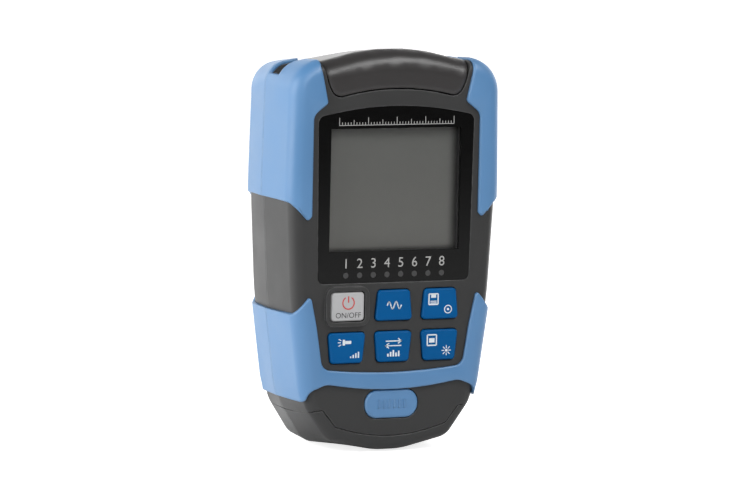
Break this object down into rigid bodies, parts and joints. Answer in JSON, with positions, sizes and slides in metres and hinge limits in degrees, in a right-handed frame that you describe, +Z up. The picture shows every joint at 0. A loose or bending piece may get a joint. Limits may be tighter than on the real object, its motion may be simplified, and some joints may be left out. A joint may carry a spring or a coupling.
{
  "type": "handheld optical power meter",
  "caption": "Handheld fibre optic power meter with display, keypad, wrap-round guards, flip-up port lid, battery bay and detachable cable test remote.",
  "frame": {"origin": "middle of the object's footprint, at the flat foot it stands on", "axes": "+X to the right as the screen is read, +Y out of the battery side, +Z up along the case towards the lid; the screen faces -Y"},
  "size_m": [0.0806, 0.0404, 0.1373],
  "materials": {
    "shell": "fine textured dark grey moulding",
    "guard": "satin light blue soft moulding",
    "lid": "fine textured dark grey moulding",
    "window": "gloss black window",
    "display": "grey reflective display glass",
    "white_plastic": "white moulded frame",
    "lamps": "smoked lamp lenses",
    "board": "green circuit board",
    "silicone": "matte silicone",
    "blue_key": "satin dark blue",
    "light_key": "satin light grey",
    "black_plastic": "matte black moulding",
    "gold": "gold plated spring contacts",
    "nickel": "nickel plated brass",
    "steel": "plain steel",
    "clear": "clear lamp lens",
    "cell": "plain wrapped cell"
  },
  "bodies": {
    "remote_unit": {"remote_shell_front": "shell", "remote_shell_rear": "shell", "remote_core": "black_plastic", "remote_socket": "black_plastic", "remote_contacts": "gold"},
    "housing": {"front_shell": "shell", "rear_shell": "shell", "upper_guard_left_front": "guard", "upper_guard_right_front": "guard", "upper_guard_left_rear": "guard", "upper_guard_right_rear": "guard", "lower_guard_front": "guard", "lower_guard_rear": "guard", "hinge_pin": "steel", "window_lens": "window", "display_glass": "display", "backlight_frame": "white_plastic", "lamp_row": "lamps", "main_board": "board", "keypad_mat": "silicone", "cable_socket": "black_plastic", "socket_contacts": "gold", "port_deck": "black_plastic", "meter_port": "nickel", "detector": "steel", "locator_port": "nickel", "laser_module": "gold", "torch_lamp": "clear", "battery_cells": "cell", "battery_contacts": "steel", "shell_screws": "steel"},
    "lid": {"top_lid": "lid"},
    "release": {"release_button": "guard"},
    "battery_cover": {"battery_door": "shell"},
    "key_wavelength_body": {"key_wavelength": "blue_key"},
    "key_reference_body": {"key_reference": "blue_key"},
    "key_torch_body": {"key_torch": "blue_key"},
    "key_unit_body": {"key_unit": "blue_key"},
    "key_locator_body": {"key_locator": "blue_key"},
    "power_key_body": {"power_key": "light_key"}
  },
  "joints": [
    {"name": "housing_lift", "type": "slide", "parent": "remote_unit", "child": "housing", "axis": [0, 0, 1], "range_m": [0, 0.04]},
    {"name": "lid_hinge", "type": "hinge", "parent": "housing", "child": "lid", "pos_m": [0, 0.0171, 0.1239], "axis": [-1, 0, 0], "range_deg": [0, 105]},
    {"name": "cover_lift", "type": "slide", "parent": "housing", "child": "battery_cover", "axis": [0, 1, 0], "range_m": [0, 0.015]},
    {"name": "release_press", "type": "slide", "parent": "housing", "child": "release", "axis": [0, 1, 0], "range_m": [0, 0.0012], "stiffness_N_per_m": 900, "springref_m": -0.0008},
    {"name": "key_wavelength_press", "type": "slide", "parent": "housing", "child": "key_wavelength_body", "axis": [0, 1, 0], "range_m": [0, 0.0008], "stiffness_N_per_m": 600, "springref_m": -0.0005},
    {"name": "key_reference_press", "type": "slide", "parent": "housing", "child": "key_reference_body", "axis": [0, 1, 0], "range_m": [0, 0.0008], "stiffness_N_per_m": 600, "springref_m": -0.0005},
    {"name": "key_torch_press", "type": "slide", "parent": "housing", "child": "key_torch_body", "axis": [0, 1, 0], "range_m": [0, 0.0008], "stiffness_N_per_m": 600, "springref_m": -0.0005},
    {"name": "key_unit_press", "type": "slide", "parent": "housing", "child": "key_unit_body", "axis": [0, 1, 0], "range_m": [0, 0.0008], "stiffness_N_per_m": 600, "springref_m": -0.0005},
    {"name": "key_locator_press", "type": "slide", "parent": "housing", "child": "key_locator_body", "axis": [0, 1, 0], "range_m": [0, 0.0008], "stiffness_N_per_m": 600, "springref_m": -0.0005},
    {"name": "power_key_press", "type": "slide", "parent": "housing", "child": "power_key_body", "axis": [0, 1, 0], "range_m": [0, 0.0008], "stiffness_N_per_m": 600, "springref_m": -0.0005}
  ]
}
